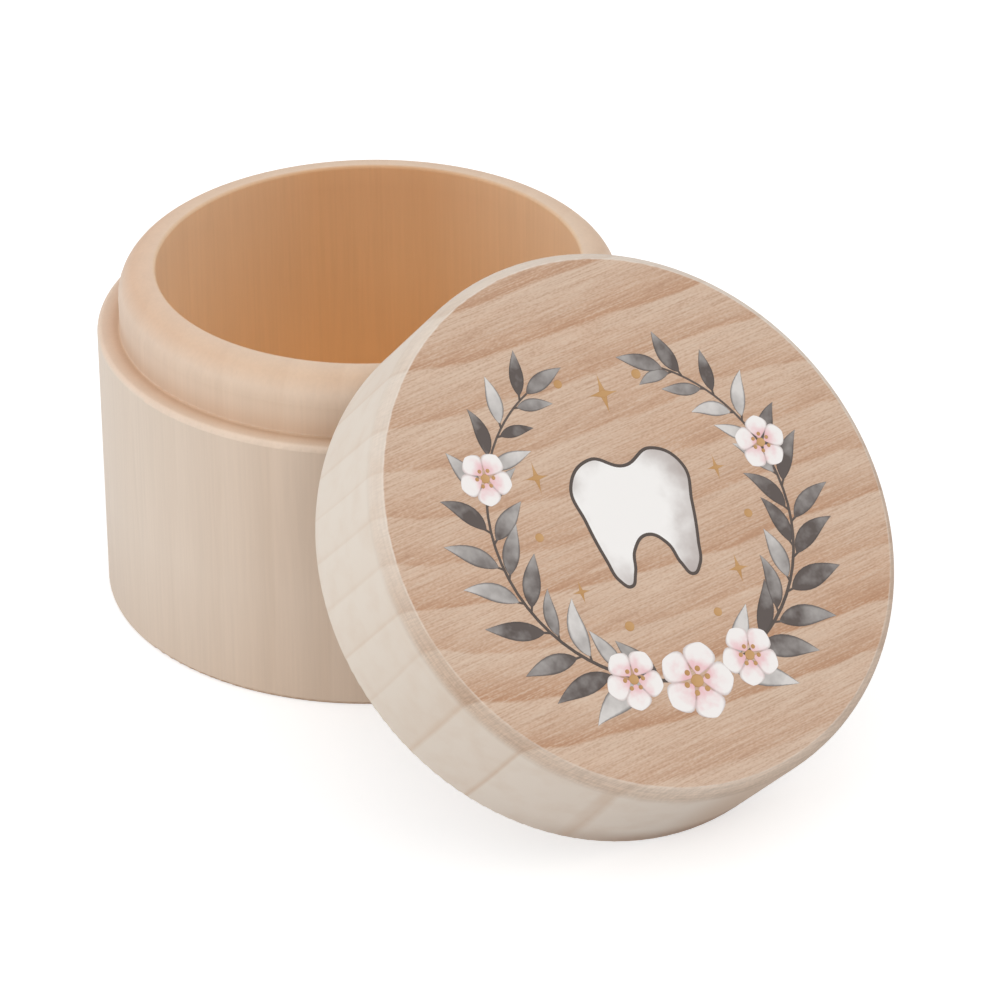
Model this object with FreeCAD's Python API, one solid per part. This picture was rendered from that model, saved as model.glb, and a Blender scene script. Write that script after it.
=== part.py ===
import FreeCAD
import Part
import math
import os

# A baby tooth box turned from pale hardwood: a cup with a neck, and a loose lid that slips over the neck.
# The cup stands on z = 0 with its axis on Z. The lid is off the cup and leans on its neck from the +X side.

# Driving dimensions, in millimetres and degrees.

# The cup, from its foot up to the ledge that the closed lid sits on.
box_diameter = 50.0
foot_edge_round = 0.4
ledge_height = 26.5
ledge_width = 2.05
ledge_edge_round = 0.5
ledge_corner_round = 0.2

# The neck above the ledge, with its broad soft rim, and the hollow inside it.
neck_height = 5.75
neck_wall = 3.5
neck_rim_round = 2.85
hollow_rim_round = 0.3
hollow_floor_thickness = 5.0
hollow_corner_round = 1.5

# The lid. Its side is flush with the cup, and its socket follows the neck.
lid_top_thickness = 6.75
lid_shoulder_round = 1.5
lid_face_inset = 0.9
lid_mouth_round = 0.35
socket_slip_clearance = 0.15
socket_end_clearance = 0.6
socket_corner_round = 0.8

# How the lid leans: its tilt from lying flat, how far it stands off the middle plane, and its gap to the neck.
lean_angle = 44.3
lean_side_offset = -2.8
lean_gap = 0.2

# How far a cutting shape runs past what it cuts, how much of a wall its rounding may take, and how close
# to its gap the leaning lid is brought.
cut_overrun = 1.0
round_limit_share = 0.9
lean_tolerance_share = 0.02

# Radii and heights that follow from the sizes above.
box_radius = box_diameter / 2
neck_radius = box_radius - ledge_width
neck_top = ledge_height + neck_height
hollow_radius = neck_radius - neck_wall
rim_round = min(neck_rim_round, round_limit_share * (neck_wall - hollow_rim_round))
socket_radius = neck_radius + socket_slip_clearance
socket_depth = neck_height + socket_end_clearance
lid_height = socket_depth + lid_top_thickness


def rounded_corner(before, corner, after, radius):
    """The start, middle and end of the arc that rounds a profile's corner."""
    to_before = (before - corner).normalize()
    to_after = (after - corner).normalize()
    half_angle = to_before.getAngle(to_after) / 2
    inward = (to_before + to_after).normalize()
    set_back = radius / math.tan(half_angle)
    mid_depth = radius / math.sin(half_angle) - radius
    return corner + to_before * set_back, corner + inward * mid_depth, corner + to_after * set_back


def turned(first, rounded, last):
    """A solid turned about Z. Its profile runs from one (radius, height) on the axis to another,
    past corners given as (radius, height, rounding)."""
    points = [FreeCAD.Vector(corner[0], 0, corner[1]) for corner in [first, *rounded, last]]
    edges = []
    pen = points[0]
    for i, (_, _, rounding) in enumerate(rounded):
        start, middle, end = rounded_corner(points[i], points[i + 1], points[i + 2], rounding)
        edges.append(Part.LineSegment(pen, start).toShape())
        edges.append(Part.Arc(start, middle, end).toShape())
        pen = end
    edges.append(Part.LineSegment(pen, points[-1]).toShape())
    edges.append(Part.LineSegment(points[-1], points[0]).toShape())
    profile = Part.Face(Part.Wire(edges))
    return profile.revolve(FreeCAD.Vector(0, 0, 0), FreeCAD.Vector(0, 0, 1), 360)


def make_cup():
    """The cup in one turning: foot, wall, ledge, neck with its soft rim, and the hollow down to its floor."""
    return turned(
        (0, 0),
        [
            (box_radius, 0, foot_edge_round),
            (box_radius, ledge_height, ledge_edge_round),
            (neck_radius, ledge_height, ledge_corner_round),
            (neck_radius, neck_top, rim_round),
            (hollow_radius, neck_top, hollow_rim_round),
            (hollow_radius, hollow_floor_thickness, hollow_corner_round),
        ],
        (0, hollow_floor_thickness),
    )


def make_lid():
    """The lid on its own axis, mouth down at z = 0. Its shoulder is rounded on a blank that is a little too
    tall, and the face is then skimmed flat, which leaves a crisp line round the face."""
    arc_drop = math.sqrt(lid_shoulder_round ** 2 - (lid_shoulder_round - lid_face_inset) ** 2)
    skim = lid_shoulder_round - arc_drop
    blank = turned(
        (0, socket_depth),
        [
            (socket_radius, socket_depth, socket_corner_round),
            (socket_radius, 0, lid_mouth_round),
            (box_radius, 0, lid_mouth_round),
            (box_radius, lid_height + skim, lid_shoulder_round),
        ],
        (0, lid_height + skim),
    )
    skimmed_off = Part.makeCylinder(
        box_radius + cut_overrun, skim + cut_overrun, FreeCAD.Vector(0, 0, lid_height)
    )
    return blank.cut(skimmed_off)


def lean(lid, cup):
    """Stands the lid on the edge of its mouth, tilted, and slides it in towards the cup until the lean gap is
    left. The first step takes the free distance, and each later one goes by how fast the last one closed it."""
    tilt = math.radians(lean_angle)
    edge_radius = box_radius - lid_mouth_round
    mouth_height = edge_radius * math.sin(tilt) + lid_mouth_round * (1 - math.cos(tilt))
    tipped = FreeCAD.Rotation(FreeCAD.Vector(0, 1, 0), lean_angle)
    mouth_centre = FreeCAD.Vector(box_diameter + lid_height, lean_side_offset, mouth_height)
    lid.Placement = FreeCAD.Placement(mouth_centre, tipped)
    free = lid.distToShape(cup)[0]
    closing_share = 1
    while abs(free - lean_gap) > lean_tolerance_share * lean_gap:
        step = (free - lean_gap) / closing_share
        mouth_centre.x -= step
        lid.Placement = FreeCAD.Placement(mouth_centre, tipped)
        free_before = free
        free = lid.distToShape(cup)[0]
        closing_share = (free_before - free) / step
    return lid


box_body = make_cup()
lid = lean(make_lid(), box_body)

os.makedirs("parts", exist_ok=True)
box_body.exportStep("parts/box_body.step")
lid.exportStep("parts/lid.step")
print("lid mouth centre", lid.Placement.Base, "gap", lid.distToShape(box_body)[0])
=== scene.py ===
import math
import random

import bmesh
import bpy
from mathutils import Matrix, Quaternion, Vector


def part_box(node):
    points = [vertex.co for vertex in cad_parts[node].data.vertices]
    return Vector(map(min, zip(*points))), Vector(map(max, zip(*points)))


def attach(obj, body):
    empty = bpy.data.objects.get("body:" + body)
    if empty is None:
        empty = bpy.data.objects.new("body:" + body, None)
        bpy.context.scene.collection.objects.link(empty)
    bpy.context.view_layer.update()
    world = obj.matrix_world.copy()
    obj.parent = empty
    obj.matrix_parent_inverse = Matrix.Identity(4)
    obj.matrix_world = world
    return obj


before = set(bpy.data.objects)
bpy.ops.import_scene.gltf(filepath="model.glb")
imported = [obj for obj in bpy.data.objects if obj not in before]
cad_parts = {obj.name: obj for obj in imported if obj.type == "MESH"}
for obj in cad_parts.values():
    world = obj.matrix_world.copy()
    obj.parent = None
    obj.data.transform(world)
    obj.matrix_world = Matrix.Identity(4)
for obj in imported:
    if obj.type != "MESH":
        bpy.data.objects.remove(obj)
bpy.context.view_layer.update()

# THE CUP
# The cup for the teeth is one turning of pale beech with its fibres standing upright, sanded and left bare.
# Its wall is cut along the fibres and looks cream, its ledge and soft rim are cut across them and look peach,
# and the bored hollow throws its own colour to and fro until it glows like honey.

MM = 0.001
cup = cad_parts["box_body"]
box_radius = 25.0
ledge_height = 26.5
neck_radius = 22.95
hollow_radius = 19.45
hollow_floor = 5.0
# The direction of the camera's left, towards which the wall is painted paler as painted light.
camera_left = (-0.594, -0.805, 0)


def linear(hex_colour):
    """An sRGB hex colour as the linear colour that a socket takes."""
    shares = [int(hex_colour[i:i + 2], 16) / 255 for i in (1, 3, 5)]
    return (*[s / 12.92 if s <= 0.04045 else ((s + 0.055) / 1.055) ** 2.4 for s in shares], 1.0)


def add(tree, kind, inputs=None, **settings):
    """Adds a node with its settings, links or sets its inputs, and gives its first output."""
    node = tree.nodes.new(kind)
    for name, value in settings.items():
        setattr(node, name, value)
    for key, value in (inputs or {}).items():
        socket = node.inputs[key]
        if isinstance(key, str):
            socket = next(s for s in node.inputs if s.name == key and s.enabled)
        if isinstance(value, bpy.types.NodeSocket):
            tree.links.new(value, socket)
        else:
            socket.default_value = value
    return next((s for s in node.outputs if s.enabled), None)


def empty_material(name):
    """A node material with nothing in it yet."""
    material = bpy.data.materials.new(name)
    material.use_nodes = True
    material.node_tree.nodes.clear()
    return material, material.node_tree


def growth_rings(tree, placed, ring_width, slope, bend, twist, wander, scallop, fray):
    """How dark each growth ring is, from 0 at its pale side to 1 at its dark edge, and the thin line of that
    edge. The coordinates are in millimetres, with X across the rings and Y along the fibres. Slope, bend and
    twist are the first three powers of the curve that the rings follow. Their edges wander, swing in scallops
    and fray by so many millimetres."""
    across = add(tree, "ShaderNodeSeparateXYZ", {0: placed}).node.outputs
    curve = add(tree, "ShaderNodeMath", {0: across["Y"], 1: twist, 2: bend}, operation="MULTIPLY_ADD")
    curve = add(tree, "ShaderNodeMath", {0: across["Y"], 1: curve, 2: slope}, operation="MULTIPLY_ADD")
    depth = add(tree, "ShaderNodeMath", {0: across["Y"], 1: curve, 2: across["X"]}, operation="MULTIPLY_ADD")
    for blot, swing in (
        ((12.0, 30.0, 60.0), wander),
        ((3.0, 9.0, 40.0), scallop),
        ((0.4, 5.0, 12.0), fray),
    ):
        sized = add(tree, "ShaderNodeMapping", {"Vector": placed, "Scale": blot}, vector_type="TEXTURE")
        noise = add(tree, "ShaderNodeTexNoise", {"Vector": sized, "Scale": 1.0, "Detail": 2.0})
        centred = add(tree, "ShaderNodeMath", {0: noise, 1: 0.5}, operation="SUBTRACT")
        depth = add(tree, "ShaderNodeMath", {0: centred, 1: swing, 2: depth}, operation="MULTIPLY_ADD")
    ring = add(tree, "ShaderNodeMath", {0: depth, 1: ring_width}, operation="DIVIDE")
    share = add(tree, "ShaderNodeMath", {0: ring}, operation="FRACT")
    number = add(tree, "ShaderNodeMath", {0: ring}, operation="FLOOR")
    chance = add(tree, "ShaderNodeTexWhiteNoise", {"W": number}, noise_dimensions="1D")
    strength = add(tree, "ShaderNodeMapRange", {"Value": chance, "To Min": 0.5, "To Max": 1.0})
    edge = add(tree, "ShaderNodeMapRange", {"Value": share, "From Min": 1.0, "From Max": 0.94})
    edge = add(tree, "ShaderNodeMath", {0: edge, 1: strength}, operation="MULTIPLY")
    ramp = add(tree, "ShaderNodeMath", {0: share, 1: 1.7}, operation="POWER")
    line = add(tree, "ShaderNodeMapRange", {"Value": share, "From Min": 0.86, "From Max": 0.95})
    dark = add(tree, "ShaderNodeMath", {0: ramp, 1: edge}, operation="MULTIPLY")
    line = add(tree, "ShaderNodeMath", {0: line, 1: edge}, operation="MULTIPLY")
    return dark, line


# Beech, turned and sanded: pale and matt, with faint upright streaks on the wall and plainer, warmer ends.
# The side towards the camera's left is painted paler, as painted light. The edges of the ledge and the rim
# carry a painted highlight, and a soft brown painted shade lies in the corner of the ledge.
material, tree = empty_material("beech_sanded_cup")
coords = add(tree, "ShaderNodeTexCoord").node.outputs
on_cup = add(tree, "ShaderNodeMapping", {"Vector": coords["Object"], "Scale": (MM, MM, MM)},
             vector_type="TEXTURE")
parts = add(tree, "ShaderNodeSeparateXYZ", {0: on_cup}).node.outputs
flat = add(tree, "ShaderNodeCombineXYZ", {"X": parts["X"], "Y": parts["Y"]})
radius = add(tree, "ShaderNodeVectorMath", {0: flat}, operation="LENGTH")
upright = add(tree, "ShaderNodeMapping", {"Vector": on_cup,
                                          "Rotation": (math.radians(90), math.radians(35), 0)})
dark, _ = growth_rings(tree, upright, ring_width=5.2, slope=-0.01, bend=0.0, twist=0.0, wander=5.0,
                       scallop=1.0, fray=0.4)
wall = add(tree, "ShaderNodeMix", {"Factor": dark, "A": linear("#dfccba"), "B": linear("#d9c5b2")},
           data_type="RGBA")
ends = add(tree, "ShaderNodeMix", {"Factor": dark, "A": linear("#dabca1"), "B": linear("#d5b599")},
           data_type="RGBA")
# Painted light in the hollow: it is painted brighter deeper down, where less light reaches, and darker
# towards the rim.
painted_depth_light = add(tree, "ShaderNodeMapRange", {"Value": parts["Z"], "From Min": 12.0, "From Max": 30.0})
honey = add(tree, "ShaderNodeMix", {"Factor": painted_depth_light, "A": linear("#f6cf9d"), "B": linear("#cfa277")},
            data_type="RGBA")

# The painted light and shade on the wall and in the hollow. The wall is painted paler towards the camera's
# left, where the cut ends turn more peach, and browner towards the foot as a painted shade near the table.
# The side walls of the hollow are painted paler, as painted light falling on them from the sides.
to_camera_left = add(tree, "ShaderNodeVectorMath", {0: on_cup, 1: camera_left}, operation="DOT_PRODUCT")
painted_paling = add(tree, "ShaderNodeMapRange", {"Value": to_camera_left, "From Min": 8.0, "From Max": box_radius,
                                           "To Max": 0.55})
wall = add(tree, "ShaderNodeMix", {"Factor": painted_paling, "A": wall, "B": linear("#f4ece2")}, data_type="RGBA")
ends = add(tree, "ShaderNodeMix", {"Factor": painted_paling, "A": ends, "B": linear("#dab193")}, data_type="RGBA")
# Painted shade: the wall is painted browner towards the foot, near the table.
foot_painted_shade = add(tree, "ShaderNodeMapRange", {"Value": parts["Z"], "From Min": 11.0, "From Max": 0.0,
                                           "To Max": 0.3})
wall = add(tree, "ShaderNodeMix", {"Factor": foot_painted_shade, "A": wall, "B": linear("#c4a88e")}, data_type="RGBA")
sideways = add(tree, "ShaderNodeMath", {0: to_camera_left}, operation="ABSOLUTE")
painted_paling = add(tree, "ShaderNodeMapRange", {"Value": sideways, "From Min": 5.0, "From Max": 19.0,
                                           "To Max": 0.4})
honey = add(tree, "ShaderNodeMix", {"Factor": painted_paling, "A": honey, "B": linear("#fbe8cc")}, data_type="RGBA")

# Painted highlights along the edges of the ledge and the rim, which the underside has none of.
above = add(tree, "ShaderNodeMapRange", {"Value": parts["Z"], "From Min": hollow_floor - 3.0,
                                         "From Max": hollow_floor - 2.5})
ledge_edge = add(tree, "ShaderNodeMapRange", {"Value": radius, "From Min": neck_radius + 0.5,
                                              "From Max": box_radius - 0.3, "To Max": 0.5})
rim_edge = add(tree, "ShaderNodeMapRange", {"Value": radius, "From Min": hollow_radius + 2.4,
                                            "From Max": hollow_radius + 0.3, "To Max": 0.25})
edges_painted_highlight = add(tree, "ShaderNodeMath", {0: ledge_edge, 1: rim_edge}, operation="MAXIMUM")
edges_painted_highlight = add(tree, "ShaderNodeMath", {0: edges_painted_highlight, 1: above}, operation="MULTIPLY")
ends = add(tree, "ShaderNodeMix", {"Factor": edges_painted_highlight, "A": ends, "B": linear("#f2e2d2")}, data_type="RGBA")

# Where each tone lies: wall, cut ends, hollow, and the painted shade in the corner of the ledge.
facing = add(tree, "ShaderNodeSeparateXYZ", {0: coords["Normal"]}).node.outputs
end_on = add(tree, "ShaderNodeMath", {0: facing["Z"]}, operation="ABSOLUTE")
cut_across = add(tree, "ShaderNodeMapRange", {"Value": end_on, "From Min": 0.05, "From Max": 0.85})
on_neck = add(tree, "ShaderNodeMapRange", {"Value": radius, "From Min": neck_radius + 0.6,
                                           "From Max": neck_radius, "To Max": 0.45})
cut_across = add(tree, "ShaderNodeMath", {0: cut_across, 1: on_neck}, operation="MAXIMUM")
tone = add(tree, "ShaderNodeMix", {"Factor": cut_across, "A": wall, "B": ends}, data_type="RGBA")
bored = add(tree, "ShaderNodeMapRange", {"Value": radius, "From Min": hollow_radius + 0.35,
                                         "From Max": hollow_radius + 0.05})
inside = add(tree, "ShaderNodeMath", {0: bored, 1: above}, operation="MULTIPLY")
tone = add(tree, "ShaderNodeMix", {"Factor": inside, "A": tone, "B": honey}, data_type="RGBA")
profile = add(tree, "ShaderNodeCombineXYZ", {"X": radius, "Y": parts["Z"]})
off_corner = add(tree, "ShaderNodeMapping", {"Vector": profile, "Location": (neck_radius, ledge_height, 0),
                                             "Scale": (0.9, 2.6, 1)}, vector_type="TEXTURE")
off_corner = add(tree, "ShaderNodeVectorMath", {0: off_corner}, operation="LENGTH")
corner_painted_shade = add(tree, "ShaderNodeMapRange", {"Value": off_corner, "From Min": 1.0, "From Max": 0.0,
                                          "To Max": 0.4}, interpolation_type="SMOOTHSTEP")
tone = add(tree, "ShaderNodeMix", {"Factor": corner_painted_shade, "A": tone, "B": linear("#b48e6d")}, data_type="RGBA")

# Real fibres are only 0.02 mm wide. They are drawn 0.26 mm wide, as coarse as they need to show.
sized = add(tree, "ShaderNodeMapping", {"Vector": upright, "Scale": (0.26, 9.0, 0.26)}, vector_type="TEXTURE")
fibre = add(tree, "ShaderNodeTexNoise", {"Vector": sized, "Scale": 1.0, "Detail": 2.0})
sized = add(tree, "ShaderNodeMapping", {"Vector": upright, "Scale": (1.8, 60.0, 1.8)}, vector_type="TEXTURE")
streak = add(tree, "ShaderNodeTexNoise", {"Vector": sized, "Scale": 1.0, "Detail": 2.0})
streaks = add(tree, "ShaderNodeMath", {0: fibre, 1: streak}, operation="ADD")
light = add(tree, "ShaderNodeMapRange", {"Value": streaks, "From Min": 0.7, "From Max": 1.3, "To Min": 0.97,
                                         "To Max": 1.03})
tone = add(tree, "ShaderNodeMix", {"Factor": 1.0, "A": tone, "B": light}, data_type="RGBA",
           blend_type="MULTIPLY")
raised = add(tree, "ShaderNodeBump", {"Height": fibre, "Strength": 0.15, "Distance": 0.04 * MM})
shader = add(tree, "ShaderNodeBsdfPrincipled", {"Base Color": tone, "Roughness": 0.58, "IOR": 1.5,
                                                "Normal": raised})
add(tree, "ShaderNodeOutputMaterial", {"Surface": shader})
cup.data.materials.clear()
cup.data.materials.append(material)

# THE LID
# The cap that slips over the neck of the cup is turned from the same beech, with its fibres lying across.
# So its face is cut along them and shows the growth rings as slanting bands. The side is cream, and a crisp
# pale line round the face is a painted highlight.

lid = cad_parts["lid"]
lid_low, lid_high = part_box("lid")
lean = math.radians(44.3)
lid_height = 13.1
face_radius = 24.1
socket_radius = 23.1
socket_depth = 6.35
mouth_round = 0.35 * MM
mouth_edge = (lid_high.y - lid_low.y) / 2 - mouth_round
mouth_centre = Vector((
    lid_low.x + mouth_round + mouth_edge * math.cos(lean) - mouth_round * math.sin(lean),
    (lid_low.y + lid_high.y) / 2,
    lid_low.z + mouth_round + mouth_edge * math.sin(lean) - mouth_round * math.cos(lean),
))

# Beech, turned and sanded: each ring darkens from pinkish cream to tan and stops at a frayed edge, and crisp
# fine fibres cross the bands. On the side the rings are only thin tan lines. The shoulder is browner and
# shows the lines of the tool, and the plain socket is paler than the face and painted paler still, as a
# painted light against the shade inside it.
material, tree = empty_material("beech_sanded_lid")
coords = add(tree, "ShaderNodeTexCoord").node.outputs
on_lid = add(tree, "ShaderNodeMapping", {"Vector": coords["Object"], "Location": mouth_centre,
                                         "Rotation": (0, lean, 0), "Scale": (MM, MM, MM)},
             vector_type="TEXTURE")
parts = add(tree, "ShaderNodeSeparateXYZ", {0: on_lid}).node.outputs
flat = add(tree, "ShaderNodeCombineXYZ", {"X": parts["X"], "Y": parts["Y"]})
radius = add(tree, "ShaderNodeVectorMath", {0: flat}, operation="LENGTH")
lying = add(tree, "ShaderNodeMapping", {"Vector": on_lid, "Location": (-0.2, 0, 0),
                                        "Rotation": (0, 0, math.radians(-3))})
dark, line = growth_rings(tree, lying, ring_width=4.52, slope=-0.068, bend=0.0025, twist=-0.00017, wander=3.0,
                          scallop=1.6, fray=0.06)
sized = add(tree, "ShaderNodeMapping", {"Vector": lying, "Scale": (8.0, 18.0, 12.0)}, vector_type="TEXTURE")
patches = add(tree, "ShaderNodeTexNoise", {"Vector": sized, "Scale": 1.0, "Detail": 1.0})
pale = add(tree, "ShaderNodeMix", {"Factor": patches, "A": linear("#cda98e"), "B": linear("#d8c1ac")},
           data_type="RGBA")
face = add(tree, "ShaderNodeMix", {"Factor": dark, "A": pale, "B": linear("#b58460")}, data_type="RGBA")
low = add(tree, "ShaderNodeMapRange", {"Value": parts["X"], "From Min": 8.0, "From Max": 24.0})
lowest = add(tree, "ShaderNodeMath", {0: low, 1: 4.0}, operation="POWER")
pale_tone_and_painted_light = add(tree, "ShaderNodeMath", {0: lowest, 1: 0.1}, operation="MULTIPLY")
face = add(tree, "ShaderNodeMix", {"Factor": pale_tone_and_painted_light, "A": face, "B": linear("#d5d0c8")}, data_type="RGBA")

# Real fibres are only 0.02 mm wide. They are drawn as lines of 0.12 by 4 mm, broken by flecks of 0.3 mm: as
# coarse as they need to show.
sized = add(tree, "ShaderNodeMapping", {"Vector": lying, "Scale": (0.12, 4.0, 0.5)}, vector_type="TEXTURE")
fibre = add(tree, "ShaderNodeTexNoise", {"Vector": sized, "Scale": 1.0, "Detail": 0.0})
sized = add(tree, "ShaderNodeMapping", {"Vector": lying, "Scale": (0.12, 0.3, 0.3)}, vector_type="TEXTURE")
fleck = add(tree, "ShaderNodeTexNoise", {"Vector": sized, "Scale": 1.0, "Detail": 0.0})
fibre = add(tree, "ShaderNodeMix", {"Factor": 0.4, "A": fibre, "B": fleck}, data_type="FLOAT")
sized = add(tree, "ShaderNodeMapping", {"Vector": lying, "Scale": (0.25, 7.0, 3.0)}, vector_type="TEXTURE")
strand = add(tree, "ShaderNodeTexNoise", {"Vector": sized, "Scale": 1.0, "Detail": 1.0})
glint = add(tree, "ShaderNodeMapRange", {"Value": fibre, "From Min": 0.5, "From Max": 0.75, "To Max": 0.45})
face = add(tree, "ShaderNodeMix", {"Factor": glint, "A": face, "B": linear("#e1cdb9")}, data_type="RGBA")
pore = add(tree, "ShaderNodeMapRange", {"Value": fibre, "From Min": 0.5, "From Max": 0.25, "To Max": 0.45})
face = add(tree, "ShaderNodeMix", {"Factor": pore, "A": face, "B": linear("#a5795a")}, data_type="RGBA")
light = add(tree, "ShaderNodeMapRange", {"Value": strand, "From Min": 0.3, "From Max": 0.7, "To Min": 0.975,
                                         "To Max": 1.025})
face = add(tree, "ShaderNodeMix", {"Factor": 1.0, "A": face, "B": light}, data_type="RGBA",
           blend_type="MULTIPLY")

# The cream side, with its thin ring lines and a tan zone towards the heart of the tree. Its lower part is
# painted paler, as painted light, and its lowest edge is painted brown, as a painted contact shadow.
cloud = add(tree, "ShaderNodeTexNoise", {"Vector": on_lid, "Scale": 1 / 2.5, "Detail": 4.0})
cloud = add(tree, "ShaderNodeMapRange", {"Value": cloud, "From Min": 0.45, "From Max": 0.75, "To Max": 0.12})
to_heart = add(tree, "ShaderNodeVectorMath", {0: on_lid, 1: (1.0, 0.5, 0.0)}, operation="DOT_PRODUCT")
tanner = add(tree, "ShaderNodeMapRange", {"Value": to_heart, "From Min": -6.0, "From Max": 24.0,
                                          "To Min": 0.15, "To Max": 0.7})
step = add(tree, "ShaderNodeMath", {0: dark, 1: 0.13, 2: cloud}, operation="MULTIPLY_ADD")
step = add(tree, "ShaderNodeMath", {0: line, 1: tanner, 2: step}, operation="MULTIPLY_ADD", use_clamp=True)
heartwood = add(tree, "ShaderNodeMapRange", {"Value": to_heart, "From Min": 20.5, "From Max": 25.0,
                                             "To Max": 0.5}, interpolation_type="SMOOTHSTEP")
step = add(tree, "ShaderNodeMath", {0: step, 1: heartwood}, operation="MAXIMUM")
painted_paling = add(tree, "ShaderNodeMix", {"Factor": low, "A": linear("#e9e0d5"), "B": linear("#f6efe7")},
              data_type="RGBA")
side = add(tree, "ShaderNodeMix", {"Factor": step, "A": painted_paling, "B": linear("#c59b72")}, data_type="RGBA")
contact_painted_shadow = add(tree, "ShaderNodeMapRange", {"Value": parts["Z"], "From Min": 4.0, "From Max": 0.0,
                                             "To Max": 0.7}, interpolation_type="SMOOTHSTEP")
contact_painted_shadow = add(tree, "ShaderNodeMath", {0: contact_painted_shadow, 1: lowest}, operation="MULTIPLY")
outside = add(tree, "ShaderNodeMapRange", {"Value": radius, "From Min": box_radius - 0.7,
                                           "From Max": box_radius - 0.2})
contact_painted_shadow = add(tree, "ShaderNodeMath", {0: contact_painted_shadow, 1: outside}, operation="MULTIPLY")
side = add(tree, "ShaderNodeMix", {"Factor": contact_painted_shadow, "A": side, "B": linear("#9a6e44")}, data_type="RGBA")

# The shoulder, browner and more marked by the tool in its lower half, and painted paler at the bottom as a
# painted highlight against the shade where the rounding turns down.
shoulder = add(tree, "ShaderNodeMapRange", {"Value": parts["Z"], "From Min": lid_height - 1.9,
                                            "From Max": lid_height - 0.5}, interpolation_type="SMOOTHSTEP")
toward_bottom = add(tree, "ShaderNodeMapRange", {"Value": parts["X"], "From Min": -8.0, "From Max": 5.0,
                                        "To Min": 0.35, "To Max": 0.9})
shoulder = add(tree, "ShaderNodeMath", {0: shoulder, 1: toward_bottom}, operation="MULTIPLY")
shoulder_tone = add(tree, "ShaderNodeMix", {"Factor": dark, "A": linear("#c7af9a"), "B": linear("#af8e74")},
           data_type="RGBA")
pale_tone_and_painted_light = add(tree, "ShaderNodeMath", {0: low, 1: 0.35}, operation="MULTIPLY")
shoulder_tone = add(tree, "ShaderNodeMix", {"Factor": pale_tone_and_painted_light, "A": shoulder_tone, "B": linear("#ece2d8")}, data_type="RGBA")
side = add(tree, "ShaderNodeMix", {"Factor": shoulder, "A": side, "B": shoulder_tone}, data_type="RGBA")
sized = add(tree, "ShaderNodeMapping", {"Vector": on_lid, "Scale": (6.0, 6.0, 0.12)}, vector_type="TEXTURE")
tool_lines = add(tree, "ShaderNodeTexNoise", {"Vector": sized, "Scale": 1.0, "Detail": 2.0})
tool_lines = add(tree, "ShaderNodeMath", {0: tool_lines, 1: fibre}, operation="ADD")
tool_lines = add(tree, "ShaderNodeMapRange", {"Value": tool_lines, "From Min": 0.7, "From Max": 1.3,
                                              "To Min": 0.84, "To Max": 1.14})
tool_lines = add(tree, "ShaderNodeMix", {"Factor": shoulder, "A": 1.0, "B": tool_lines}, data_type="FLOAT")
side = add(tree, "ShaderNodeMix", {"Factor": 1.0, "A": side, "B": tool_lines}, data_type="RGBA",
           blend_type="MULTIPLY")

# Where each tone lies: face, side and socket, and the painted highlight along the edge of the face, broken
# by noise and weaker towards the bottom.
in_edge = add(tree, "ShaderNodeMapRange", {"Value": radius, "From Min": face_radius + 0.04,
                                           "From Max": face_radius - 0.04})
on_top = add(tree, "ShaderNodeMapRange", {"Value": parts["Z"], "From Min": lid_height - 1.1,
                                          "From Max": lid_height - 1.0})
on_face = add(tree, "ShaderNodeMath", {0: in_edge, 1: on_top}, operation="MULTIPLY")
tone = add(tree, "ShaderNodeMix", {"Factor": on_face, "A": side, "B": face}, data_type="RGBA")
# The socket is paler than the face and painted paler still, as painted light against the shade inside it.
socket = add(tree, "ShaderNodeMix", {"Factor": 0.65, "A": face, "B": linear("#e3d5c5")}, data_type="RGBA")
within = add(tree, "ShaderNodeMapRange", {"Value": radius, "From Min": socket_radius + 0.5,
                                          "From Max": socket_radius + 0.1})
under = add(tree, "ShaderNodeMapRange", {"Value": parts["Z"], "From Min": socket_depth + 1.15,
                                         "From Max": socket_depth + 0.65})
bored = add(tree, "ShaderNodeMath", {0: within, 1: under}, operation="MULTIPLY")
tone = add(tree, "ShaderNodeMix", {"Factor": bored, "A": tone, "B": socket}, data_type="RGBA")
profile = add(tree, "ShaderNodeCombineXYZ", {"X": radius, "Y": parts["Z"]})
off_edge = add(tree, "ShaderNodeVectorMath", {0: profile, 1: (face_radius, lid_height, 0)},
               operation="DISTANCE")
highlight_breaks = add(tree, "ShaderNodeTexNoise", {"Vector": on_lid, "Scale": 1.0, "Detail": 2.0})
highlight_breaks = add(tree, "ShaderNodeMapRange", {"Value": highlight_breaks, "From Min": 0.35, "From Max": 0.6, "To Min": 0.2,
                                           "To Max": 0.75})
face_edge_painted_highlight = add(tree, "ShaderNodeMapRange", {"Value": off_edge, "From Min": 0.11, "From Max": 0.03})
face_edge_painted_highlight = add(tree, "ShaderNodeMath", {0: face_edge_painted_highlight, 1: highlight_breaks}, operation="MULTIPLY")
fading = add(tree, "ShaderNodeMapRange", {"Value": parts["X"], "From Min": -8.0, "From Max": 5.0,
                                          "To Min": 0.9, "To Max": 0.55})
face_edge_painted_highlight = add(tree, "ShaderNodeMath", {0: face_edge_painted_highlight, 1: fading}, operation="MULTIPLY")
tone = add(tree, "ShaderNodeMix", {"Factor": face_edge_painted_highlight, "A": tone, "B": linear("#eadfd3")}, data_type="RGBA")
relief = add(tree, "ShaderNodeMath", {0: on_face, 1: 0.7}, operation="MULTIPLY")
raised = add(tree, "ShaderNodeBump", {"Height": fibre, "Strength": relief, "Distance": 0.035 * MM})
shader = add(tree, "ShaderNodeBsdfPrincipled", {"Base Color": tone, "Roughness": 0.6, "IOR": 1.5,
                                                "Normal": raised})
add(tree, "ShaderNodeOutputMaterial", {"Surface": shader})
lid.data.materials.clear()
lid.data.materials.append(material)

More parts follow.
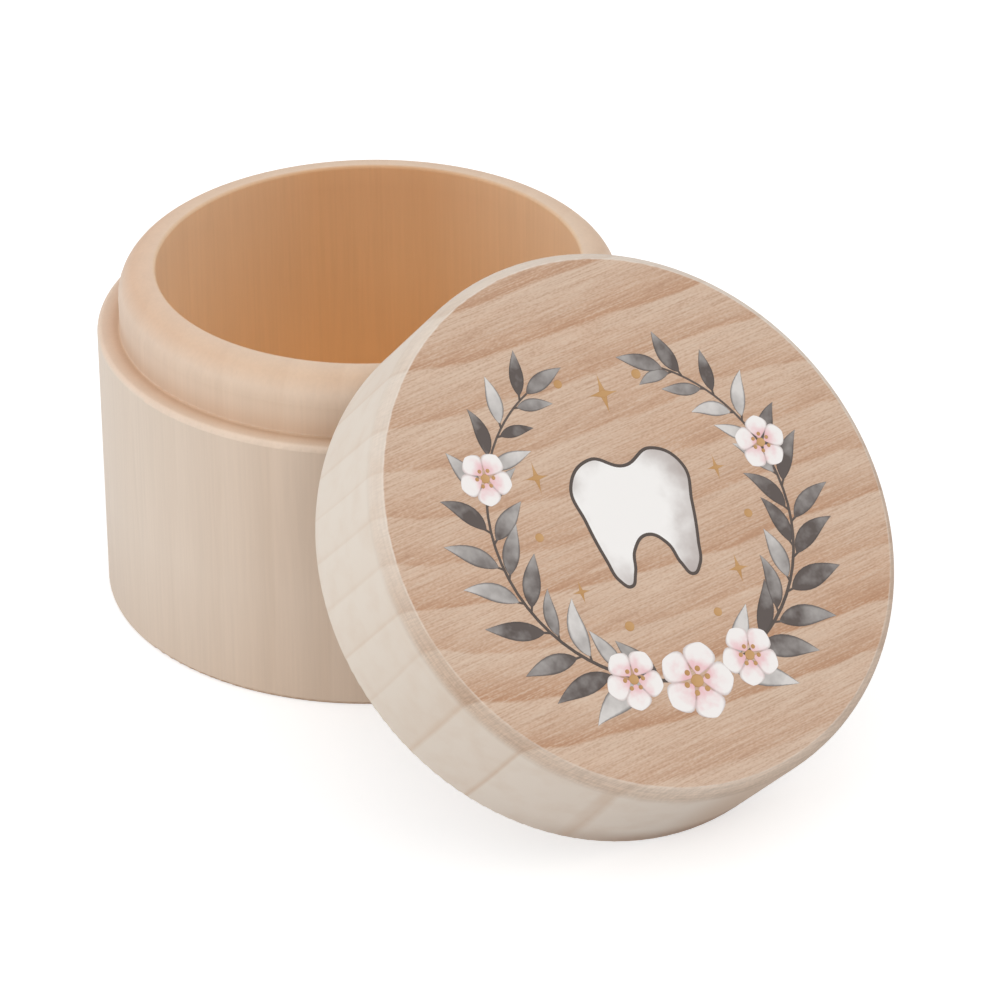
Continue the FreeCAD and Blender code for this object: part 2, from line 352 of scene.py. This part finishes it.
# THE PRINTED SPRIGS
# The picture on the face is ink, printed straight on the sanded wood and cured to a thin matt film.
# Two leafy sprigs rise from below to both sides. Each leaf is one stroke of wash, darker where it pooled at
# the rim.

print_turn = math.radians(-8.0)
ink_sunk = 0.02
overlap_step = 0.003
stem_layer, leaf_layer, bloom_layer, heart_layer = 0.010, 0.018, 0.030, 0.042
sprig_radius = 14.6
sprig_start, sprig_sweep = math.radians(-84), math.radians(146)
leaf_pairs = 11
brush = random.Random(11)

face_normal = Vector((math.sin(lean), 0, math.cos(lean)))
face_uphill = Vector((-math.cos(lean), 0, math.sin(lean)))
face_across = Vector((0, 1, 0))
face_centre = mouth_centre + face_normal * lid_height * MM
print_right = face_across * math.cos(print_turn) + face_uphill * math.sin(print_turn)
print_up = face_uphill * math.cos(print_turn) - face_across * math.sin(print_turn)
print_axes = Matrix((print_right, print_up, face_normal)).transposed()
on_print = Matrix.Translation(face_centre) @ print_axes.to_4x4() @ Matrix.Scale(MM, 4)


def new_ink():
    """An empty mesh for strokes of ink, with a layer for how thin the wash of each one is."""
    bm = bmesh.new()
    bm.loops.layers.uv.new("stroke")
    bm.verts.layers.float.new("wash")
    return bm


def curve_of(start, bend, end):
    """A path from one point to another that a third point pulls to the side."""
    start, bend, end = Vector(start), Vector(bend), Vector(end)
    return lambda share: start.lerp(bend, share).lerp(bend.lerp(end, share), share)


def stroke(bm, path, half_width, layer, wash, steps=14):
    """One stroke of the brush: a flat strip along a path in millimetres, as wide at each share of its length
    as half_width says. Its UV runs along it from 0 to 1, and across it from -1 to 1."""
    uv, thin = bm.loops.layers.uv["stroke"], bm.verts.layers.float["wash"]
    strip = bmesh.ops.create_grid(bm, x_segments=steps, y_segments=2, size=1)["verts"]
    for vert in strip:
        vert.co.x = 0.5 + 0.5 * math.sin(vert.co.x * math.pi / 2)
        for loop in vert.link_loops:
            loop[uv].uv = vert.co.xy
    for vert in strip:
        share, side, _ = vert.co
        ahead = (path(share + 0.01) - path(share - 0.01)).normalized()
        place = path(share) + Vector((-ahead.y, ahead.x)) * side * half_width(share)
        vert.co = (place.x, place.y, layer)
        vert[thin] = wash
    bmesh.ops.remove_doubles(bm, verts=strip, dist=1e-4)


def lay_ink(bm, name, material):
    """Gives the strokes the thickness of the film, lays them on the lid's face and makes them a piece."""
    for face in bm.faces:
        if face.normal.z < 0:
            face.normal_flip()
    film = bmesh.ops.extrude_face_region(bm, geom=bm.faces[:])["geom"]
    for vert in [part for part in film if isinstance(part, bmesh.types.BMVert)]:
        vert.co.z = -ink_sunk
    bmesh.ops.recalc_face_normals(bm, faces=bm.faces)
    bm.transform(on_print)
    mesh = bpy.data.meshes.new(name)
    bm.to_mesh(mesh)
    bm.free()
    mesh.materials.append(material)
    piece = bpy.data.objects.new(name, mesh)
    bpy.context.scene.collection.objects.link(piece)
    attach(piece, "lid")
    return piece


def ink_material(name, thick, thin, pooled, pool_strength):
    """A wash of ink cured on wood: matt, clouded where the water moved it, darker along its rim."""
    material, tree = empty_material(name)
    coords = add(tree, "ShaderNodeTexCoord").node.outputs
    placed = add(tree, "ShaderNodeMapping", {"Vector": coords["Object"], "Location": face_centre,
                                             "Rotation": (0, lean, 0), "Scale": (MM, MM, MM)},
                 vector_type="TEXTURE")
    wash = add(tree, "ShaderNodeAttribute", attribute_name="wash").node.outputs["Fac"]
    flow = add(tree, "ShaderNodeSeparateXYZ", {0: coords["UV"]}).node.outputs
    cloud = add(tree, "ShaderNodeTexNoise", {"Vector": placed, "Scale": 1 / 1.8, "Detail": 3.0})
    cloud = add(tree, "ShaderNodeMapRange", {"Value": cloud, "From Min": 0.3, "From Max": 0.7, "To Min": -0.4,
                                             "To Max": 0.0})
    cloud = add(tree, "ShaderNodeMath", {0: flow["X"], 1: 0.4, 2: cloud}, operation="MULTIPLY_ADD")
    thinness = add(tree, "ShaderNodeMath", {0: wash, 1: cloud}, operation="ADD", use_clamp=True)
    tone = add(tree, "ShaderNodeMix", {"Factor": thinness, "A": linear(thick), "B": linear(thin)},
               data_type="RGBA")
    across = add(tree, "ShaderNodeMath", {0: flow["Y"]}, operation="ABSOLUTE")
    rim = add(tree, "ShaderNodeMapRange", {"Value": across, "From Min": 0.7, "From Max": 1.0,
                                           "To Max": pool_strength}, interpolation_type="SMOOTHSTEP")
    tone = add(tree, "ShaderNodeMix", {"Factor": rim, "A": tone, "B": linear(pooled)}, data_type="RGBA")
    shader = add(tree, "ShaderNodeBsdfPrincipled", {"Base Color": tone, "Roughness": 0.55, "IOR": 1.45})
    add(tree, "ShaderNodeOutputMaterial", {"Surface": shader})
    return material


def turned_by(direction, angle):
    """A flat direction turned to the left by an angle."""
    return Matrix.Rotation(angle, 2) @ direction


def sprig_path(mirror):
    """The stem of one sprig, which rises along a circle from the bottom of the picture."""
    def path(share):
        angle = sprig_start + sprig_sweep * share
        return Vector((mirror * math.cos(angle), math.sin(angle))) * sprig_radius
    return path


def leaf_shape(half_width):
    """How wide a leaf is along its length: pointed at both ends and widest a little before its middle."""
    return lambda share: half_width * math.sin(math.pi * share ** 0.78)


stems = new_ink()
leaves = new_ink()
for mirror in (1, -1):
    stem = sprig_path(mirror)
    stroke(stems, stem, lambda share: 0.17 - 0.08 * share, stem_layer, 0.2, steps=40)
    for i in range(leaf_pairs):
        share = 0.06 + 0.9 * i / (leaf_pairs - 1)
        ahead = (stem(share + 0.01) - stem(share - 0.01)).normalized()
        for side in (1, -1):
            root = stem(share) + ahead * side * 0.5
            length = (6.2 - 2.0 * share) * brush.uniform(0.88, 1.08)
            if side == mirror:
                length *= 0.86
            reach = turned_by(ahead, side * math.radians(brush.uniform(36, 50))) * length
            sway = Vector((-reach.y, reach.x)) * side * brush.uniform(-0.2, 0.02)
            start = root + reach * 0.1
            width = length * brush.uniform(0.15, 0.19)
            stroke(stems, curve_of(root, root.lerp(start, 0.5), start + reach * 0.04), lambda share: 0.1,
                   stem_layer + overlap_step, 0.2, steps=3)
            stroke(leaves, curve_of(start, start + reach * 0.5 + sway, start + reach), leaf_shape(width),
                   leaf_layer + overlap_step * (i % 3), brush.choice((0.05, 0.2, 0.35, 0.6, 0.85)))
    tip = stem(1.0)
    ahead = (tip - stem(0.98)).normalized()
    sway = Vector((-ahead.y, ahead.x)) * mirror
    stroke(leaves, curve_of(tip, tip + ahead * 2.2, tip + ahead * 4.4 + sway * 0.5), leaf_shape(0.75),
           leaf_layer + overlap_step * 2, 0.3)

# Brown line ink gives the stems one even dark line. Grey wash ink runs from a dark brownish grey, where it is
# thick, to a thin pale grey.
lay_ink(stems, "print_stems", ink_material("brown_line_ink", "#4f443e", "#6d6059", "#463b36", 0.3))
lay_ink(leaves, "print_leaves", ink_material("grey_wash_ink", "#574d49", "#dcd8d5", "#4a413d", 0.75))

# THE PRINTED BLOSSOMS
# Five blossoms of five petals in white ink, with a blush of pink at the heart and a few tan stamens.
# They are printed after the sprigs, so their film lies over the leaves, and the stamens lie over the petals.

# The place of each blossom on the print, to the right and up from its middle, and its size in millimetres.
blossom_spots = ((0.0, -14.9, 3.7), (-5.9, -13.6, 2.9), (5.8, -13.7, 2.9), (14.0, 4.6, 2.6),
                 (-13.4, 6.2, 2.6))

petals = new_ink()
hearts = new_ink()


def dot(bm, middle, size, layer, wash):
    """A round dab of the brush."""
    reach = Vector((size, 0))
    stroke(bm, curve_of(middle - reach, middle, middle + reach),
           lambda share: size * math.sqrt(max(0.0, 1 - (2 * share - 1) ** 2)), layer, wash, steps=10)


for x, y, size in blossom_spots:
    middle = Vector((x, y))
    first = brush.uniform(0, 1)
    for petal in range(5):
        reach = turned_by(Vector((0, size)), (petal + first) * math.tau / 5)
        start = middle + reach * 0.12
        stroke(petals, curve_of(start, start + reach * 0.4, start + reach * 0.84),
               lambda share: size * 0.42 * math.sin(math.pi * share ** 1.5) ** 0.7,
               bloom_layer + overlap_step * (petal % 3), brush.uniform(0.2, 0.8))
    for stamen in range(6):
        dot(hearts, middle + turned_by(Vector((0, size * 0.3)), (stamen + first) * math.tau / 6), size * 0.07,
            heart_layer, 0.3)
    dot(hearts, middle, size * 0.16, heart_layer, 0.6)

# Blush white ink: opaque and matt, pink at the root of each petal, with a soft grey rim that sets the petals
# apart. Tan ink is a plain warm brown.
material, tree = empty_material("blush_white_ink")
coords = add(tree, "ShaderNodeTexCoord").node.outputs
placed = add(tree, "ShaderNodeMapping", {"Vector": coords["Object"], "Location": face_centre,
                                         "Rotation": (0, lean, 0), "Scale": (MM, MM, MM)},
             vector_type="TEXTURE")
cloud = add(tree, "ShaderNodeTexNoise", {"Vector": placed, "Scale": 1 / 1.2, "Detail": 2.0})
flow = add(tree, "ShaderNodeSeparateXYZ", {0: coords["UV"]}).node.outputs
reach = add(tree, "ShaderNodeMath", {0: flow["X"], 1: cloud}, operation="ADD")
blush = add(tree, "ShaderNodeMapRange", {"Value": reach, "From Min": 0.5, "From Max": 1.25},
            interpolation_type="SMOOTHSTEP")
tone = add(tree, "ShaderNodeMix", {"Factor": blush, "A": linear("#eebfc4"), "B": linear("#f7f3f1")},
           data_type="RGBA")
across = add(tree, "ShaderNodeMath", {0: flow["Y"]}, operation="ABSOLUTE")
rim = add(tree, "ShaderNodeMapRange", {"Value": across, "From Min": 0.78, "From Max": 1.0, "To Max": 0.55},
          interpolation_type="SMOOTHSTEP")
tone = add(tree, "ShaderNodeMix", {"Factor": rim, "A": tone, "B": linear("#b5a29e")}, data_type="RGBA")
shader = add(tree, "ShaderNodeBsdfPrincipled", {"Base Color": tone, "Roughness": 0.5, "IOR": 1.45})
add(tree, "ShaderNodeOutputMaterial", {"Surface": shader})
lay_ink(petals, "print_petals", material)
lay_ink(hearts, "print_hearts", ink_material("tan_ink", "#b98a52", "#d0a673", "#a5763f", 0.4))

# THE PRINTED TOOTH
# A plain milk tooth in white ink in the middle of the sprigs, printed on the wood in one film. It is shaded
# with a thin grey wash and drawn round with one brown line.

tooth_half = ((0, 5.1), (3.1, 6.2), (5.8, 4.1), (5.5, 0.6), (4.8, -3.0), (4.2, -5.0), (3.1, -5.8),
              (2.2, -4.6), (1.5, -2.6), (0, -1.6))
tooth_line = 0.3

curve = bpy.data.curves.new("tooth_outline", "CURVE")
curve.dimensions = "2D"
curve.fill_mode = "FRONT"
outline = [*tooth_half, *[(-x, y) for x, y in reversed(tooth_half[1:-1])]]
spline = curve.splines.new("BEZIER")
spline.bezier_points.add(len(outline) - 1)
for point, (x, y) in zip(spline.bezier_points, outline):
    point.co = (x, y, 0)
    point.handle_left_type = point.handle_right_type = "AUTO"
spline.use_cyclic_u = True
drawing = bpy.data.objects.new("tooth_outline", curve)
flat_tooth = bpy.data.meshes.new_from_object(drawing)
tooth = new_ink()
tooth.from_mesh(flat_tooth)
bpy.data.objects.remove(drawing)
bpy.data.curves.remove(curve)
bpy.data.meshes.remove(flat_tooth)
bmesh.ops.remove_doubles(tooth, verts=tooth.verts, dist=1e-4)
bmesh.ops.dissolve_faces(tooth, faces=tooth.faces)
bmesh.ops.translate(tooth, verts=tooth.verts, vec=(0, 0, leaf_layer))
rim = bmesh.ops.inset_region(tooth, faces=tooth.faces, thickness=tooth_line, use_boundary=True,
                             use_even_offset=True)
for face in rim["faces"]:
    face.material_index = 1

# White ink: opaque and matt, with a cloudy grey wash that darkens towards the edges and makes the tooth look
# round.
material, tree = empty_material("white_ink")
coords = add(tree, "ShaderNodeTexCoord").node.outputs
placed = add(tree, "ShaderNodeMapping", {"Vector": coords["Object"], "Location": face_centre,
                                         "Rotation": print_axes.to_euler(), "Scale": (MM, MM, MM)},
             vector_type="TEXTURE")
cloud = add(tree, "ShaderNodeTexNoise", {"Vector": placed, "Scale": 1 / 2.4, "Detail": 3.0})
offset = add(tree, "ShaderNodeVectorMath", {0: placed, 1: (-1.2, 1.0, 0.0)}, operation="SUBTRACT")
offset = add(tree, "ShaderNodeVectorMath", {0: offset, 1: (1 / 6.4, 1 / 6.8, 0.0)}, operation="MULTIPLY")
shade = add(tree, "ShaderNodeVectorMath", {0: offset}, operation="LENGTH")
shade = add(tree, "ShaderNodeMath", {0: cloud, 1: 0.7, 2: shade}, operation="MULTIPLY_ADD")
shade = add(tree, "ShaderNodeMapRange", {"Value": shade, "From Min": 0.9, "From Max": 1.6},
            interpolation_type="SMOOTHSTEP")
tone = add(tree, "ShaderNodeMix", {"Factor": shade, "A": linear("#f7f5f3"), "B": linear("#bbb1ad")},
           data_type="RGBA")
shader = add(tree, "ShaderNodeBsdfPrincipled", {"Base Color": tone, "Roughness": 0.5, "IOR": 1.45})
add(tree, "ShaderNodeOutputMaterial", {"Surface": shader})
piece = lay_ink(tooth, "print_tooth", material)
piece.data.materials.append(bpy.data.materials["brown_line_ink"])

# THE PRINTED MARKS
# Small four-pointed stars and round dots in the free space round the tooth, in the tan ink of the stamens.
# They are printed straight on the wood in the lowest layer.

# The places and sizes of the stars and dots, given like those of the blossoms.
star_spots = ((-8.6, 5.4, 1.5), (8.8, 3.2, 1.2), (7.6, -6.0, 1.4), (-8.0, -5.2, 1.1), (0.4, 11.6, 1.9))
dot_spots = ((-3.6, 13.2, 0.4), (4.2, 12.8, 0.45), (-10.2, 0.2, 0.4), (10.4, -1.4, 0.4), (4.2, -9.4, 0.4),
             (-4.6, -9.0, 0.45))

marks = new_ink()
for x, y, size in star_spots:
    middle = Vector((x, y))
    upright_ray, level_ray = Vector((0, size)), Vector((size * 0.8, 0))
    for layer, reach in ((stem_layer, upright_ray), (stem_layer + overlap_step, level_ray)):
        stroke(marks, curve_of(middle - reach, middle, middle + reach),
               lambda share: size * 0.2 * (1 - abs(2 * share - 1)) ** 1.6, layer, 0.4)
for x, y, size in dot_spots:
    dot(marks, Vector((x, y)), size, stem_layer, 0.5)
lay_ink(marks, "print_marks", bpy.data.materials["tan_ink"])

# THE TABLE, THE LIGHT AND THE CAMERA
# The box stands on a matt white table with no edge in sight, under a soft white sky and five large panels.
# The eye sees the table and the sky as white. To the wood the sky gives a softer light, and the table a
# dimmer and warmer one.

scene = bpy.context.scene
scene.view_settings.view_transform = "Standard"
table_size = 6.0
lamp_aim = Vector((0.02, 0, 0.02))
camera_place = Vector((359.58, -247.56, 258.57)) * MM
camera_aim = Vector((20.66, -0.38, 16.68)) * MM
camera_roll = math.radians(-0.378)


def seen_rays(tree):
    """1 for the rays that show a thing to the eye, straight, in a mirror or through glass, and else 0."""
    paths = add(tree, "ShaderNodeLightPath").node.outputs
    seen = add(tree, "ShaderNodeMath", {0: paths["Is Camera Ray"], 1: paths["Is Glossy Ray"]},
               operation="MAXIMUM")
    return add(tree, "ShaderNodeMath", {0: seen, 1: paths["Is Transmission Ray"]}, operation="MAXIMUM")


# Matt white board: it looks as white as the sky behind it and keeps only a faint shadow under the box.
bpy.ops.mesh.primitive_plane_add(size=table_size)
floor = bpy.context.object
floor.name = "table"
material, tree = empty_material("matt_white_board")
lit = add(tree, "ShaderNodeBsdfDiffuse", {"Color": linear("#d8d8d8")})
glow = add(tree, "ShaderNodeEmission", {"Color": linear("#ffffff"), "Strength": 0.55})
both = add(tree, "ShaderNodeAddShader", {0: lit, 1: glow})
bounce = add(tree, "ShaderNodeBsdfDiffuse", {"Color": linear("#ab9f93")})
shown = add(tree, "ShaderNodeMixShader", {0: seen_rays(tree), 1: bounce, 2: both})
add(tree, "ShaderNodeOutputMaterial", {"Surface": shown})
floor.data.materials.append(material)

# The sky, white to the eye and a little dimmer as a light.
world = bpy.data.worlds.new("studio")
scene.world = world
world.use_nodes = True
tree = world.node_tree
tree.nodes.clear()
soft = add(tree, "ShaderNodeBackground", {"Color": linear("#ffffff"), "Strength": 0.66})
white = add(tree, "ShaderNodeBackground", {"Color": linear("#ffffff"), "Strength": 1.0})
shown = add(tree, "ShaderNodeMixShader", {0: seen_rays(tree), 1: soft, 2: white})
add(tree, "ShaderNodeOutputWorld", {"Surface": shown})

# The panels, with their places and sizes in metres and their power in watts.
for name, place, size, power in (
    ("left_panel", (-0.5, -0.35, 0.5), 0.6, 0.75),
    ("right_panel", (0.3, 0.5, 0.45), 0.6, 0.88),
    ("front_panel", (0.5, -0.36, 0.2), 0.4, 0.6),
    ("low_panel", (0.15, -0.6, 0.15), 0.4, 1.0),
    ("ceiling_panel", (0.02, 0.0, 0.8), 0.8, 0.4),
):
    lamp = bpy.data.objects.new(name, bpy.data.lights.new(name, "AREA"))
    lamp.data.size = size
    lamp.data.energy = power
    lamp.location = place
    lamp.rotation_mode = "QUATERNION"
    lamp.rotation_quaternion = (lamp_aim - lamp.location).to_track_quat("-Z", "Y")
    scene.collection.objects.link(lamp)

# The camera, placed so that the edges of the cup and the lid fall where the photo shows them.
camera = bpy.data.objects.new("camera", bpy.data.cameras.new("camera"))
camera.data.lens = 193.56
camera.data.sensor_width = 36
camera.location = camera_place
camera.rotation_mode = "QUATERNION"
looking = (camera_aim - camera_place).to_track_quat("-Z", "Y")
camera.rotation_quaternion = looking @ Quaternion((0, 0, 1), camera_roll)
scene.collection.objects.link(camera)
scene.camera = camera
